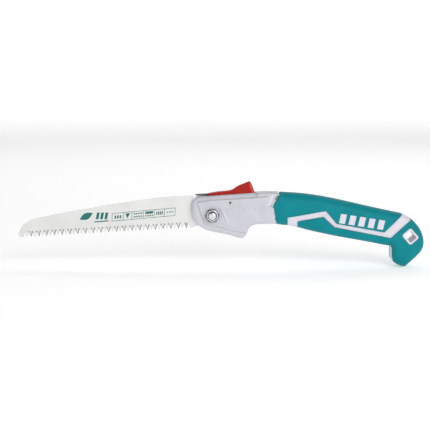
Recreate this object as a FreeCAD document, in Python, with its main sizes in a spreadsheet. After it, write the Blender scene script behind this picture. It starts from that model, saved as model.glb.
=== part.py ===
import FreeCAD, Part
import math
import os

import Sketcher
from FreeCAD import Placement, Rotation, Vector

# Folding pruning saw, opened and locked, standing on the lowest point of its hook.
# X runs from the blade's nose (-X) to the hook (+X), Z is up, and Y crosses the handle.
# The near side, with the pivot nut, is -Y. Every outline below is drawn from the pivot's centre.

DIMENSIONS = {
    # Where the blade's pivot stands over the middle of the saw's footprint.
    "pivot_x": -8.7,
    "pivot_z": 53.9,
    # Blade and the slot that takes it.
    "blade_thickness": 1.3,
    "slot_half": 1.5,
    "tang_radius": 17.5,
    "tooth_pitch": 4.0,
    "tooth_depth": 4.4,
    "fold_angle": 165.0,
    # Half thicknesses of the handle, from its mid plane.
    "core_half": 8.6,
    "plateau_rise": 1.4,
    "band_half": 10.9,
    "grip_half": 11.9,
    "grip_wrap": 2.2,
    # Pivot: an M8 screw in a sleeve, with the blade running on the sleeve.
    "screw_radius": 4.0,
    "bush_radius": 6.0,
    "running_gap": 0.05,
    "washer_radius": 11.5,
    "washer_thickness": 0.8,
    "nut_flats": 12.7,
    "nut_height": 4.8,
    "head_radius": 7.0,
    "head_height": 3.6,
    "head_washer_radius": 8.2,
    "head_washer_thickness": 1.0,
    "screw_end": 2.2,
    # Lock lever, its pin and its cap.
    "lever_pin_x": 18.05,
    "lever_pin_z": 12.75,
    "lever_pin_radius": 1.75,
    "lever_half": 1.3,
    "lever_eye": 4.0,
    "cap_half": 4.2,
    "cap_pocket_half": 4.6,
    "pin_head_radius": 2.3,
    "pin_head_height": 0.5,
    # Spring under the lever's rear arm.
    "spring_x": 33.0,
    "spring_foot": 10.6,
    "spring_free": 5.5,
    "spring_radius": 1.9,
    "spring_wire": 0.3,
    "spring_coils": 5.0,
    "spring_pocket": 2.9,
    # Shell screws and their inserts.
    "shank_radius": 1.45,
    "shell_head_radius": 2.8,
    "shell_head_height": 2.0,
    "shell_head_seat": 6.4,
    "shank_reach": 6.6,
    "insert_radius": 2.3,
    "insert_top": 1.8,
    "insert_length": 5.0,
    # Lanyard eyelet, turned to lie along the hook.
    "eyelet_x": 201.4,
    "eyelet_z": -21.6,
    "eyelet_half_long": 6.9,
    "eyelet_half_wide": 6.1,
    "eyelet_hole_long": 4.95,
    "eyelet_hole_wide": 4.0,
    "eyelet_corner": 2.4,
    "eyelet_half": 12.1,
    "eyelet_tilt": -49.0,
}

SIDES = {"near": -1, "far": 1}

doc = FreeCAD.newDocument("folding_pruning_saw")
sheet = doc.addObject("Spreadsheet::Sheet", "sizes")
for row, (alias, value) in enumerate(DIMENSIONS.items(), start=1):
    sheet.set(f"A{row}", alias)
    sheet.set(f"B{row}", str(value))
    sheet.setAlias(f"B{row}", alias)
doc.recompute()

D = {alias: float(sheet.get(alias)) for alias in DIMENSIONS}
PIVOT = "vector(sizes.pivot_x; 0; sizes.pivot_z)"
nodes = []


# ---------------------------------------------------------------- outlines


def turned(point, degrees):
    """A point of an outline turned about the pivot, from X towards Z."""
    angle = math.radians(degrees)
    return (
        point[0] * math.cos(angle) - point[1] * math.sin(angle),
        point[0] * math.sin(angle) + point[1] * math.cos(angle),
    )


def on_circle(radius, degrees, centre=(0.0, 0.0)):
    """The point of a circle at an angle from X towards Z."""
    angle = math.radians(degrees)
    return (centre[0] + radius * math.cos(angle), centre[1] + radius * math.sin(angle))


def lines(points):
    """Straight segments through the points."""
    return [("line", start, end) for start, end in zip(points, points[1:])]


def closed(points):
    """A closed polygon."""
    return lines(list(points) + [points[0]])


def flat(point, lift=0.0):
    return Vector(point[0], point[1], lift)


def curve_of(piece):
    """One piece of an outline as a sketch curve: a line, a three-point arc or a smooth curve."""
    kind, points = piece[0], [flat(point) for point in piece[1:]]
    if kind == "line":
        return Part.LineSegment(*points)
    if kind == "arc":
        return Part.Arc(*points)
    spline = Part.BSplineCurve()
    spline.interpolate(points)
    return spline


def inset(points, depth):
    """The points moved to the right of their direction of travel by depth."""
    moved = []
    for index, point in enumerate(points):
        before = points[max(index - 1, 0)]
        after = points[min(index + 1, len(points) - 1)]
        run = (after[0] - before[0], after[1] - before[1])
        size = math.hypot(*run)
        moved.append((point[0] + depth * run[1] / size, point[1] - depth * run[0] / size))
    return moved


# ---------------------------------------------------------------- features


def new_body(label):
    """A body standing at the pivot, kept as a node."""
    body = doc.addObject("PartDesign::Body", label)
    body.Label = label
    body.setExpression("Placement.Base", PIVOT)
    nodes.append(body)
    return body


def new_sketch(body, name, outlines, level="0", plane="XZ_Plane"):
    """A sketch on one of the body's own planes. level moves it along the plane's normal."""
    sketch = body.newObject("Sketcher::SketchObject", f"{body.Label}_{name}")
    base = next(item for item in body.Origin.OriginFeatures if item.Role == plane)
    sketch.AttachmentSupport = (base, [""])
    sketch.MapMode = "FlatFace"
    sketch.setExpression("AttachmentOffset.Base.z", level)
    for outline in outlines:
        if outline[0] == "circle":
            circle = Part.Circle(flat(outline[1]), Vector(0, 0, 1), D.get(outline[2], 1.0))
            index = sketch.addGeometry(circle)
            constraint = sketch.addConstraint(Sketcher.Constraint("Radius", index, circle.Radius))
            sketch.setExpression(f"Constraints[{constraint}]", outline[3])
        else:
            sketch.addGeometry([curve_of(piece) for piece in outline])
    return sketch


def pad(body, sketch, length, outward):
    """Adds material from the sketch along -Y (outward True) or +Y."""
    feature = body.newObject("PartDesign::Pad", f"{sketch.Name}_pad")
    feature.Profile = sketch
    feature.Reversed = not outward
    feature.setExpression("Length", length)
    return feature


def pocket(body, sketch, length, outward):
    """Cuts from the sketch along -Y (outward True) or +Y."""
    feature = body.newObject("PartDesign::Pocket", f"{sketch.Name}_pocket")
    feature.Profile = sketch
    feature.Reversed = outward
    feature.setExpression("Length", length)
    return feature


def through(body, sketch):
    """Cuts the sketch through the whole body, both ways."""
    feature = body.newObject("PartDesign::Pocket", f"{sketch.Name}_through")
    feature.Profile = sketch
    feature.Type = "ThroughAll"
    feature.Midplane = True
    return feature


# ---------------------------------------------------------------- blade

TOOTH_START = (-194.0, -23.9)
TOOTH_END = (-22.6, -14.2)
SPINE = [
    (-19.4, 19.3), (-43.6, 18.2), (-70.0, 15.2), (-104.8, 9.9), (-143.0, 3.2), (-167.4, -1.4), (-185.6, -5.4),
]
NOSE = [(-185.6, -5.4), (-194.4, -11.3), (-199.0, -20.2)]
NOTCH = [(-4.25, 19.5), (-4.25, 15.1), (-10.3, 12.7), (-10.3, 19.5)]


def tooth_line():
    """Tips and gullets from the nose to the root, at an even pitch."""
    run = (TOOTH_END[0] - TOOTH_START[0], TOOTH_END[1] - TOOTH_START[1])
    length = math.hypot(*run)
    count = round(length / D["tooth_pitch"])
    along = (run[0] / length, run[1] / length)
    inward = (-along[1], along[0])
    pitch = length / count
    points = [TOOTH_START]
    for tooth in range(count):
        for step, depth in ((tooth + 0.5, D["tooth_depth"]), (tooth + 1.0, 0.0)):
            points.append(
                (
                    TOOTH_START[0] + along[0] * step * pitch + inward[0] * depth,
                    TOOTH_START[1] + along[1] * step * pitch + inward[1] * depth,
                )
            )
    return points


radius = D["tang_radius"]
heel = (-19.6, -13.2)
tang_foot = on_circle(radius, 222.0)
step_floor = (-10.3, 15.8)
# From the spine's shoulder down to the step, then right round the tang to the heel.
notch_back = on_circle(radius, 90.0 + math.degrees(math.asin(4.25 / radius)))
closed_notch = [turned(point, -D["fold_angle"]) for point in NOTCH]
blade_outline = (
    [("curve", *SPINE), ("curve", *NOSE), ("line", NOSE[-1], (-197.6, -23.0)), ("line", (-197.6, -23.0), TOOTH_START)]
    + lines(tooth_line() + [heel, tang_foot])
    + [("arc", tang_foot, on_circle(radius, -20.0), notch_back)]
    + lines([notch_back, NOTCH[1], NOTCH[2], step_floor, (-18.9, 16.4), SPINE[0]])
)

blade = new_body("blade")
blade_sketch = new_sketch(blade, "plate", [blade_outline])
blade_pad = pad(blade, blade_sketch, "sizes.blade_thickness", True)
blade_pad.Midplane = True
bore = new_sketch(blade, "bore", [("circle", (0, 0), "bush_radius", "sizes.bush_radius + sizes.running_gap")])
through(blade, bore)
through(blade, new_sketch(blade, "closed_notch", [closed(closed_notch)]))


# ---------------------------------------------------------------- shells

FRONT = [(-15.2, 18.5), (-20.4, 13.6), (-21.9, 4.6), (-19.1, -5.7), (-10.5, -13.7), (1.3, -18.0)]
GUARD = [(1.3, -18.0), (16.0, -21.0), (25.3, -23.7), (31.5, -24.2), (35.0, -20.0), (38.6, -12.6), (45.5, -9.8)]
BELLY = [(45.5, -9.8), (65.9, -9.8), (87.5, -13.1), (112.8, -19.2), (155.8, -27.3), (181.8, -32.4)]
BACK = [(53.7, 23.4), (71.8, 23.0), (91.7, 21.6), (120.0, 17.2), (155.8, 9.2), (193.6, 0.9)]
HEEL = [(193.6, 0.9), (202.3, -3.9), (209.4, -10.8), (215.1, -21.6), (215.8, -32.8), (205.8, -45.9), (197.4, -53.6)]
TOE = [(197.4, -53.6), (191.0, -52.0), (183.2, -46.1), (181.8, -43.8)]
COLLAR = [(69.0, 23.1), (67.6, 17.9), (62.1, 9.8), (63.9, 0.9), (65.5, -9.8)]
BAND_ABOVE = [(76.7, -11.0), (76.5, -2.4), (115.4, 4.7), (126.4, -8.4), (175.0, -17.3), (193.6, 0.9)]
BAND_BELOW = [(86.6, -12.8), (86.6, -6.2), (112.8, -1.6), (124.2, -12.2), (181.6, -23.4), (202.6, -3.9)]
PLATEAU = [
    (-14.8, 13.6), (12.6, 16.4), (43.0, 18.2), (57.0, 19.4), (63.0, 17.2), (57.4, 9.8), (58.6, -4.2),
    (44.0, -5.4), (37.4, -8.4), (32.0, -17.4), (16.0, -15.2), (-7.0, -10.2), (-13.4, 4.6),
]
SHELL_SCREWS = [(53.0, 15.2), (114.0, 1.4), (187.6, -11.6)]

# The slot: open below and in front, closed behind the folded teeth and round the lever's arm.
tooth_back = 1.4
fold_line = [turned(point, D["fold_angle"]) for point in (TOOTH_END, TOOTH_START)]
slot_back = [(point[0], point[1] + tooth_back) for point in fold_line]
sweep = math.hypot(199.0, 20.2) + 2.0
SLOT = [
    (-40.0, 60.0), (46.0, 60.0), (46.0, 14.0), (27.0, 12.2), (27.0, slot_back[0][1] - 0.4),
    (190.4, slot_back[1][1] + 0.6), (194.8, -26.0), (199.6, -30.4), on_circle(sweep, -10.0),
    on_circle(sweep, -13.0), on_circle(sweep, -17.0), (190.0, -80.0), (-40.0, -80.0),
]
CAP_POCKET = [(-5.6, 60.0), (44.6, 60.0), (44.6, 16.9), (-5.6, 16.9)]


def eyelet_outline(half_long, half_wide, corner):
    """A rounded rectangle round the eyelet's centre, its long side along the tilt."""
    tilt = D["eyelet_tilt"]
    centre = (D["eyelet_x"], D["eyelet_z"])

    def place(u, v):
        x, z = turned((u, v), tilt)
        return (centre[0] + x, centre[1] + z)

    pieces = []
    corners = [(1, 1), (-1, 1), (-1, -1), (1, -1)]
    bow = corner * (1 - math.sqrt(0.5))
    for index, (u, v) in enumerate(corners):
        first = (u * half_long, v * (half_wide - corner))
        last = (u * (half_long - corner), v * half_wide)
        if index % 2:
            first, last = last, first
        middle = (u * (half_long - bow), v * (half_wide - bow))
        pieces.append(("arc", place(*first), place(*middle), place(*last)))
    joined = []
    for index, piece in enumerate(pieces):
        following = pieces[(index + 1) % len(pieces)]
        joined += [piece, ("line", piece[3], following[1])]
    return joined


def core_outline():
    """The housing's own outline, and behind the collar the handle inset by the soft grip's wrap."""
    belly = inset(list(reversed(BELLY[1:])), D["grip_wrap"])
    rim = inset([COLLAR[0]] + BACK[2:] + HEEL[1:] + TOE[1:], D["grip_wrap"])
    top = rim[: len(BACK) - 1]
    round_end = rim[len(BACK) - 2 : len(BACK) - 2 + len(HEEL)]
    toe = rim[-len(TOE) :]
    front = (toe[-1][0], belly[0][1])
    return (
        [("curve", *FRONT), ("curve", *GUARD), ("line", GUARD[-1], COLLAR[-1]), ("line", COLLAR[-1], belly[-1])]
        + [("curve", *reversed(belly)), ("line", belly[0], front), ("line", front, toe[-1])]
        + [("curve", *reversed(toe)), ("curve", *reversed(round_end)), ("curve", *reversed(top))]
        + lines([top[0], COLLAR[0], BACK[0], FRONT[0]])
    )


def band_outline():
    """The accent band, from the belly round the grip fields to the heel."""
    return closed(BAND_ABOVE + [(197.6, -0.9)] + list(reversed(BAND_BELOW)))


for side, sign in SIDES.items():
    near = sign < 0
    out = "" if near else "-"
    shell = new_body(f"{side}_shell")
    pad(shell, new_sketch(shell, "core", [core_outline()]), "sizes.core_half", near)
    plateau = new_sketch(shell, "plateau", [closed(PLATEAU)])
    pad(shell, plateau, "sizes.core_half + sizes.plateau_rise", near)
    pad(shell, new_sketch(shell, "band", [band_outline()]), "sizes.band_half", near)
    pocket(shell, new_sketch(shell, "slot", [closed(SLOT)]), "sizes.slot_half", near)
    pocket(shell, new_sketch(shell, "cap_pocket", [closed(CAP_POCKET)]), "sizes.cap_pocket_half", near)
    bores = [
        ("circle", (0, 0), "screw_radius", "sizes.screw_radius + sizes.running_gap"),
        ("circle", (D["lever_pin_x"], D["lever_pin_z"]), "lever_pin_radius",
         "sizes.lever_pin_radius + sizes.running_gap"),
        eyelet_outline(D["eyelet_half_long"], D["eyelet_half_wide"], D["eyelet_corner"]),
    ]
    through(shell, new_sketch(shell, "bores", bores))
    seat = new_sketch(shell, "spring_seat", [("circle", (D["spring_x"], 0), "spring_pocket", "sizes.spring_pocket")],
                      "sizes.spring_foot", "XY_Plane")
    rise = shell.newObject("PartDesign::Pocket", f"{side}_shell_spring_pocket")
    rise.Profile = seat
    rise.Reversed = True
    rise.setExpression("Length", "2 * sizes.spring_free")
    if near:
        holes = [("circle", at, "insert_radius", "sizes.insert_radius + 0.02") for at in SHELL_SCREWS]
        pocket(shell, new_sketch(shell, "insert_holes", holes), "sizes.insert_top + sizes.insert_length + 0.3", True)
    else:
        holes = [("circle", at, "shank_radius", "sizes.shank_radius + 0.1") for at in SHELL_SCREWS]
        through(shell, new_sketch(shell, "shank_holes", holes))
        heads = [("circle", at, "shell_head_radius", "sizes.shell_head_radius + 0.3") for at in SHELL_SCREWS]
        sketch = new_sketch(shell, "head_recesses", heads, "-sizes.shell_head_seat")
        pocket(shell, sketch, "sizes.band_half", False)


# ---------------------------------------------------------------- soft grips

upper_field = (
    [("curve", *COLLAR), ("line", COLLAR[-1], BAND_ABOVE[0])]
    + lines(BAND_ABOVE)
    + [("curve", *reversed([COLLAR[0]] + BACK[2:]))]
)
lower_field = (
    lines(BAND_BELOW)
    + [("curve", BAND_BELOW[-1], *HEEL[2:]), ("curve", *TOE), ("line", TOE[-1], BELLY[-1])]
    + [("curve", *reversed([BAND_BELOW[0]] + BELLY[3:]))]
)

for side, sign in SIDES.items():
    near = sign < 0
    for field, outline in (("upper", upper_field), ("lower", lower_field)):
        grip = new_body(f"{side}_{field}_grip")
        pad(grip, new_sketch(grip, "field", [outline]), "sizes.grip_half", near)
        pocket(grip, new_sketch(grip, "core", [core_outline()]), "sizes.core_half", near)
        pocket(grip, new_sketch(grip, "slot", [closed(SLOT)]), "sizes.slot_half", near)
        if field == "lower":
            ring = eyelet_outline(D["eyelet_half_long"], D["eyelet_half_wide"], D["eyelet_corner"])
            through(grip, new_sketch(grip, "eyelet", [ring]))


# ---------------------------------------------------------------- lanyard eyelet

eyelet = new_body("lanyard_eyelet")
rings = [
    eyelet_outline(D["eyelet_half_long"], D["eyelet_half_wide"], D["eyelet_corner"]),
    eyelet_outline(D["eyelet_hole_long"], D["eyelet_hole_wide"], D["eyelet_corner"] / 2),
]
pad(eyelet, new_sketch(eyelet, "sleeve", rings), "2 * sizes.eyelet_half", True).Midplane = True


# ---------------------------------------------------------------- lock lever and thumb cap

pin = (D["lever_pin_x"], D["lever_pin_z"])
nose_front = on_circle(17.85, 122.0)
nose_back = on_circle(17.85, 105.0)
eye_low = on_circle(D["lever_eye"], 285.0, pin)
eye_left = on_circle(D["lever_eye"], 160.0, pin)
lever_outline = (
    lines([(-17.6, 20.7), (-17.6, 19.4), (nose_front[0], 19.3), nose_front])
    + [("arc", nose_front, on_circle(17.85, 113.0), nose_back)]
    + lines([nose_back, (-4.2, 19.0), (3.0, 18.9), (10.5, 17.0), eye_left])
    + [("arc", eye_left, on_circle(D["lever_eye"], 220.0, pin), eye_low)]
    + lines([eye_low, (24.0, 11.6), (28.0, 15.4), (39.6, 17.6), (40.6, 19.4), (37.2, 31.2), (25.2, 26.0),
             (18.0, 22.8), (-4.4, 21.4), (-17.6, 20.7)])
)
lever = new_body("lock_lever")
pad(lever, new_sketch(lever, "plate", [lever_outline]), "2 * sizes.lever_half", True).Midplane = True
through(lever, new_sketch(lever, "bore", [
    ("circle", pin, "lever_pin_radius", "sizes.lever_pin_radius + sizes.running_gap")]))

cap_outline = (
    lines([(-4.4, 19.5), (8.0, 19.2), (14.0, 18.6), (42.4, 18.9), (42.8, 22.4)])
    + [("arc", (42.8, 22.4), (41.4, 28.0), (39.2, 32.4)), ("arc", (39.2, 32.4), (38.2, 33.7), (36.6, 33.6))]
    + [("curve", (36.6, 33.6), (30.4, 31.0), (24.5, 28.2), (20.6, 25.6), (17.0, 24.5), (8.1, 23.5), (-4.4, 21.6))]
    + lines([(-4.4, 21.6), (-4.4, 19.5)])
)
cap = new_body("thumb_cap")
pad(cap, new_sketch(cap, "block", [cap_outline]), "2 * sizes.cap_half", True).Midplane = True
pocket(cap, new_sketch(cap, "lever_slot", [lever_outline]), "2 * sizes.lever_half", True).Midplane = True


# ---------------------------------------------------------------- turned parts along Y


def turned_part(label, at, profile):
    """A solid of revolution about a Y axis through at. profile holds (radius, y) expressions."""
    body = doc.addObject("PartDesign::Body", label)
    body.Label = label
    body.setExpression("Placement.Base.x", f"sizes.pivot_x + {at[0]}")
    body.setExpression("Placement.Base.z", f"sizes.pivot_z + {at[1]}")
    nodes.append(body)
    sketch = body.newObject("Sketcher::SketchObject", f"{label}_profile")
    base = next(item for item in body.Origin.OriginFeatures if item.Role == "XY_Plane")
    sketch.AttachmentSupport = (base, [""])
    sketch.MapMode = "FlatFace"
    sketch.addGeometry([curve_of(piece) for piece in profile])
    spin = body.newObject("PartDesign::Revolution", f"{label}_turned")
    spin.Profile = sketch
    spin.ReferenceAxis = (sketch, ["V_Axis"])
    spin.Angle = 360
    return body


plateau_y = D["core_half"] + D["plateau_rise"]
nut_face = plateau_y + D["nut_height"]
screw_tip = nut_face + D["screw_end"]
head_base = plateau_y + D["head_washer_thickness"]
head_top = head_base + D["head_height"]
shank = D["screw_radius"]

# Screw: a low domed head on the far side, a domed end past the nut on the near side.
turned_part("pivot_screw", (0, 0), (
    lines([(0, head_top), (D["head_radius"] * 0.55, head_top)])
    + [("arc", (D["head_radius"] * 0.55, head_top), (D["head_radius"] * 0.88, head_top - 0.9),
        (D["head_radius"], head_base + 0.9))]
    + lines([(D["head_radius"], head_base + 0.9), (D["head_radius"], head_base), (shank, head_base),
             (shank, -nut_face - 0.8)])
    + [("arc", (shank, -nut_face - 0.8), (shank * 0.75, -screw_tip + 0.5), (shank * 0.3, -screw_tip))]
    + lines([(shank * 0.3, -screw_tip), (0, -screw_tip), (0, head_top)])
))
ring_gap = D["running_gap"]


def ring(label, at, inner, outer, low, high):
    """A flat ring or sleeve about a Y axis."""
    return turned_part(label, at, closed([(inner, low), (outer, low), (outer, high), (inner, high)]))


ring("pivot_bush", (0, 0), shank + ring_gap, D["bush_radius"], -D["slot_half"], D["slot_half"])
for side, sign in SIDES.items():
    face = sorted((sign * D["slot_half"], sign * (D["slot_half"] - D["washer_thickness"])))
    ring(f"{side}_pivot_washer", (0, 0), D["bush_radius"] + ring_gap, D["washer_radius"], *face)
ring("head_washer", (0, 0), shank + ring_gap, D["head_washer_radius"], plateau_y, head_base)

pin_end = plateau_y + D["pin_head_height"]
turned_part("lever_pin", pin, closed([
    (0, -pin_end), (D["pin_head_radius"] - 0.3, -pin_end), (D["pin_head_radius"], -plateau_y - 0.1),
    (D["pin_head_radius"], -plateau_y), (D["lever_pin_radius"], -plateau_y), (D["lever_pin_radius"], plateau_y),
    (D["pin_head_radius"], plateau_y), (D["pin_head_radius"], plateau_y + 0.1),
    (D["pin_head_radius"] - 0.3, pin_end), (0, pin_end),
]))

# Nut: a hexagon with two corners along X, both ends chamfered by the round limit of its corners.
nut = new_body("pivot_nut")
corner = D["nut_flats"] / math.sqrt(3)
hexagon = closed([on_circle(corner, 60.0 * step) for step in range(6)])
pad(nut, new_sketch(nut, "hexagon", [hexagon], "sizes.core_half + sizes.plateau_rise"), "sizes.nut_height", True)
through(nut, new_sketch(nut, "thread", [("circle", (0, 0), "screw_radius", "sizes.screw_radius + 0.02")]))


# ---------------------------------------------------------------- groups of shell screws


def group(label, solids):
    """Identical separate solids kept as one node."""
    feature = doc.addObject("Part::Compound", label)
    feature.Label = label
    feature.Links = solids
    nodes.append(feature)


def shell_screw(index, at):
    """One pan-head screw, its head in the far shell and its shank in the near shell's insert."""
    seat_y = D["shell_head_seat"]
    shaft = doc.addObject("Part::Cylinder", f"shank_{index}")
    shaft.setExpression("Radius", "sizes.shank_radius")
    shaft.setExpression("Height", "sizes.shank_reach + sizes.shell_head_seat")
    head = doc.addObject("Part::Cylinder", f"screw_head_{index}")
    head.setExpression("Radius", "sizes.shell_head_radius")
    head.setExpression("Height", "sizes.shell_head_height")
    spot = (D["pivot_x"] + at[0], D["pivot_z"] + at[1])
    along_y = Rotation(Vector(1, 0, 0), -90)
    shaft.Placement = Placement(Vector(spot[0], -D["shank_reach"], spot[1]), along_y)
    head.Placement = Placement(Vector(spot[0], seat_y, spot[1]), along_y)
    socket = doc.addObject("Part::Box", f"drive_{index}")
    socket.Length = 3.2
    socket.Width = 1.2
    socket.Height = 0.8
    socket.Placement = Placement(
        Vector(spot[0] - 1.6, seat_y + D["shell_head_height"] - 1.2, spot[1] - 0.4), Rotation()
    )
    whole = doc.addObject("Part::Fuse", f"screw_blank_{index}")
    whole.Base = shaft
    whole.Tool = head
    slotted = doc.addObject("Part::Cut", f"shell_screw_{index}")
    slotted.Base = whole
    slotted.Tool = socket
    return slotted


def shell_insert(index, at):
    """One threaded sleeve sunk in the near shell's mating face."""
    sleeve = doc.addObject("Part::Cylinder", f"sleeve_{index}")
    sleeve.setExpression("Radius", "sizes.insert_radius")
    sleeve.setExpression("Height", "sizes.insert_length")
    core = doc.addObject("Part::Cylinder", f"sleeve_core_{index}")
    core.setExpression("Radius", "sizes.shank_radius + sizes.running_gap")
    core.setExpression("Height", "sizes.insert_length")
    spot = Vector(D["pivot_x"] + at[0], -D["insert_top"], D["pivot_z"] + at[1])
    for item in (sleeve, core):
        item.Placement = Placement(spot, Rotation(Vector(1, 0, 0), 90))
    tube = doc.addObject("Part::Cut", f"shell_insert_{index}")
    tube.Base = sleeve
    tube.Tool = core
    return tube


group("shell_screws", [shell_screw(index, at) for index, at in enumerate(SHELL_SCREWS)])
group("shell_inserts", [shell_insert(index, at) for index, at in enumerate(SHELL_SCREWS)])


# ---------------------------------------------------------------- lever spring

coil = doc.addObject("Part::Helix", "spring_coil")
coil.setExpression("Radius", "sizes.spring_radius")
coil.setExpression("Height", "sizes.spring_free - 2 * sizes.spring_wire")
coil.setExpression("Pitch", "(sizes.spring_free - 2 * sizes.spring_wire) / sizes.spring_coils")
wire = doc.addObject("Part::Circle", "spring_wire_section")
wire.setExpression("Radius", "sizes.spring_wire")
wire.Placement = Placement(Vector(D["spring_radius"], 0, 0), Rotation(Vector(1, 0, 0), 90))
spring = doc.addObject("Part::Sweep", "lever_spring")
spring.Sections = [wire]
spring.Spine = (coil, ["Edge1"])
spring.Solid = True
spring.Frenet = True
spring.Label = "lever_spring"
spring.Placement = Placement(
    Vector(D["pivot_x"] + D["spring_x"], 0, D["pivot_z"] + D["spring_foot"] + D["spring_wire"]), Rotation()
)
nodes.append(spring)


# ---------------------------------------------------------------- check and write

doc.recompute()
for item in doc.Objects:
    if "Invalid" in item.State or "Error" in item.State:
        raise RuntimeError(f"{item.Label} did not build: {item.State}")
os.makedirs("parts", exist_ok=True)
for node in nodes:
    shape = node.Shape
    if shape.isNull() or not shape.isValid() or not shape.Solids:
        raise RuntimeError(f"{node.Label} has no valid solid")
    shape.exportStep(f"parts/{node.Label}.step")
    box = shape.BoundBox
    print(f"{node.Label:20s} solids {len(shape.Solids)} volume {shape.Volume / 1000:8.3f} cm3",
          f"x {box.XMin:7.1f} {box.XMax:7.1f} y {box.YMin:6.2f} {box.YMax:6.2f} z {box.ZMin:6.1f} {box.ZMax:6.1f}")
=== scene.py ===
import bpy
import math
import numpy as np
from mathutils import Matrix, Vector
from mathutils.geometry import delaunay_2d_cdt


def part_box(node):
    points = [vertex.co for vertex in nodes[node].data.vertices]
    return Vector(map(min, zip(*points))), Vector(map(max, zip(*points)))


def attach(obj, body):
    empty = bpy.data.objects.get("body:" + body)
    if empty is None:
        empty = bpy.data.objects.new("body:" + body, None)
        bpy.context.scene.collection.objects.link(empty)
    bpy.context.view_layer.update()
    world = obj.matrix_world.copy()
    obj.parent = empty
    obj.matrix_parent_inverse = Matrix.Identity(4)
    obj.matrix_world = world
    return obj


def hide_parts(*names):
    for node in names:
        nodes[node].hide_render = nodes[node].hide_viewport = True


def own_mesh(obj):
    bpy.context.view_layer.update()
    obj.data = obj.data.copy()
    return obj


# A folding pruning saw, opened, seen from its nut side. Lengths in this file are millimetres from the
# pivot's centre, x towards the hook and z up, and put() turns them into metres in the saw's own frame.

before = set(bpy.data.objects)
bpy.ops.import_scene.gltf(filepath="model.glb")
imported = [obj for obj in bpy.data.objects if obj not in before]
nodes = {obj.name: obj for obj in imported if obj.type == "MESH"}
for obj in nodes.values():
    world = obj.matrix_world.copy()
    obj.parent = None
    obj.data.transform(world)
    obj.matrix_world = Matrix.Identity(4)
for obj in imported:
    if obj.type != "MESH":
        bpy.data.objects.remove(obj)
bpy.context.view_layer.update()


def middle(node):
    # centre of a node's box, in millimetres
    low, high = (np.array(corner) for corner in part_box(node))
    return (low + high) / 2 * 1000


pivot = middle("pivot_bush")
leverPin = (middle("lever_pin") - pivot)[[0, 2]]
eyeletAt = (middle("lanyard_eyelet") - pivot)[[0, 2]]
toRadians = math.radians


def dense(points, step):
    # straight run: points every step along the polyline, the corners kept
    points = np.asarray(points, float)
    runs = []
    for start, end in zip(points[:-1], points[1:]):
        count = max(1, math.ceil(np.hypot(*(end - start)) / step))
        runs.append(start + (end - start) * np.linspace(0, 1, count, endpoint=False)[:, None])
    return np.vstack(runs + [points[-1:]])


def smooth(points, step):
    # natural cubic spline over the chord length: each span is the cubic whose second derivatives m
    # solve the usual three-term equations, and are zero at the two ends
    points = np.asarray(points, float)
    gaps = np.hypot(*np.diff(points, axis=0).T)
    knots = np.concatenate([[0], np.cumsum(gaps)])
    count = len(points)
    matrix = np.eye(count)
    right = np.zeros((count, 2))
    inner = np.arange(1, count - 1)
    matrix[inner, inner - 1] = gaps[:-1]
    matrix[inner, inner] = 2 * (gaps[:-1] + gaps[1:])
    matrix[inner, inner + 1] = gaps[1:]
    slopes = np.diff(points, axis=0) / gaps[:, None]
    right[inner] = 6 * np.diff(slopes, axis=0)
    bends = np.linalg.solve(matrix, right)
    along = np.linspace(0, knots[-1], max(2, math.ceil(knots[-1] / step)) + 1)
    span = np.clip(np.searchsorted(knots, along, side="right") - 1, 0, count - 2)
    size = gaps[span][:, None]
    after = ((along - knots[span]) / gaps[span])[:, None]
    before = 1 - after
    return (
        before * points[span] + after * points[span + 1]
        + size**2 / 6 * ((before**3 - before) * bends[span] + (after**3 - after) * bends[span + 1])
    )


def circle(centre, radius, count=48):
    # count points round a centre, at even angles
    turn = np.arange(count) * 2 * math.pi / count
    return np.asarray(centre) + radius * np.stack([np.cos(turn), np.sin(turn)], axis=1)


def turned(points, degrees):
    # turned about the pivot, from x towards z
    cos, sin = math.cos(toRadians(degrees)), math.sin(toRadians(degrees))
    return np.asarray(points, float) @ np.array([[cos, sin], [-sin, cos]])


def joined(*runs):
    # one closed loop from runs that meet end to start
    loop = np.vstack([run[:-1] for run in runs])
    keep = np.hypot(*(loop - np.roll(loop, 1, axis=0)).T) > 1e-4
    return loop[keep]


def fromLine(points, line, closed=False):
    # smallest distance from each point to the polyline
    line = np.asarray(line, float)
    ends = np.roll(line, -1, axis=0) if closed else line[1:]
    nearest = np.full(len(points), 1e9)
    for start, end in zip(line, ends):
        run = end - start
        reach = np.clip(((points - start) @ run) / max(run @ run, 1e-12), 0, 1)
        gap = points - start - reach[:, None] * run
        nearest = np.minimum(nearest, np.hypot(gap[:, 0], gap[:, 1]))
    return nearest


def inside(points, loop):
    # even-odd rule
    x, z = points[:, 0], points[:, 1]
    odd = np.zeros(len(points), bool)
    for (x0, z0), (x1, z1) in zip(loop, np.roll(loop, -1, axis=0)):
        if z0 != z1:
            odd ^= ((z0 > z) != (z1 > z)) & (x < x0 + (z - z0) * (x1 - x0) / (z1 - z0))
    return odd


def signed(points, loop):
    # distance to a closed loop, positive inside it
    return np.where(inside(points, loop), 1, -1) * fromLine(points, loop, closed=True)


def normals(loop):
    # unit normals of a closed loop, each across the line between its two neighbours
    tangent = np.roll(loop, -1, axis=0) - np.roll(loop, 1, axis=0)
    return np.stack([-tangent[:, 1], tangent[:, 0]], axis=1) / np.hypot(*tangent.T)[:, None]


def inwards(loop):
    # the same normals, all pointing into the loop
    normal = normals(loop)
    return normal if inside((loop + normal * 0.05)[:1], loop)[0] else -normal


def ramp(value, low, high):
    # smooth step from 0 at low to 1 at high
    t = np.clip((value - low) / (high - low), 0, 1)
    return t * t * (3 - 2 * t)


def roundOff(distance, reach, depth):
    # how far an elliptical edge round has dropped, at a distance in from the edge
    t = 1 - np.clip(distance / reach, 0, 1)
    return depth * (1 - np.sqrt(1 - t * t))


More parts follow.
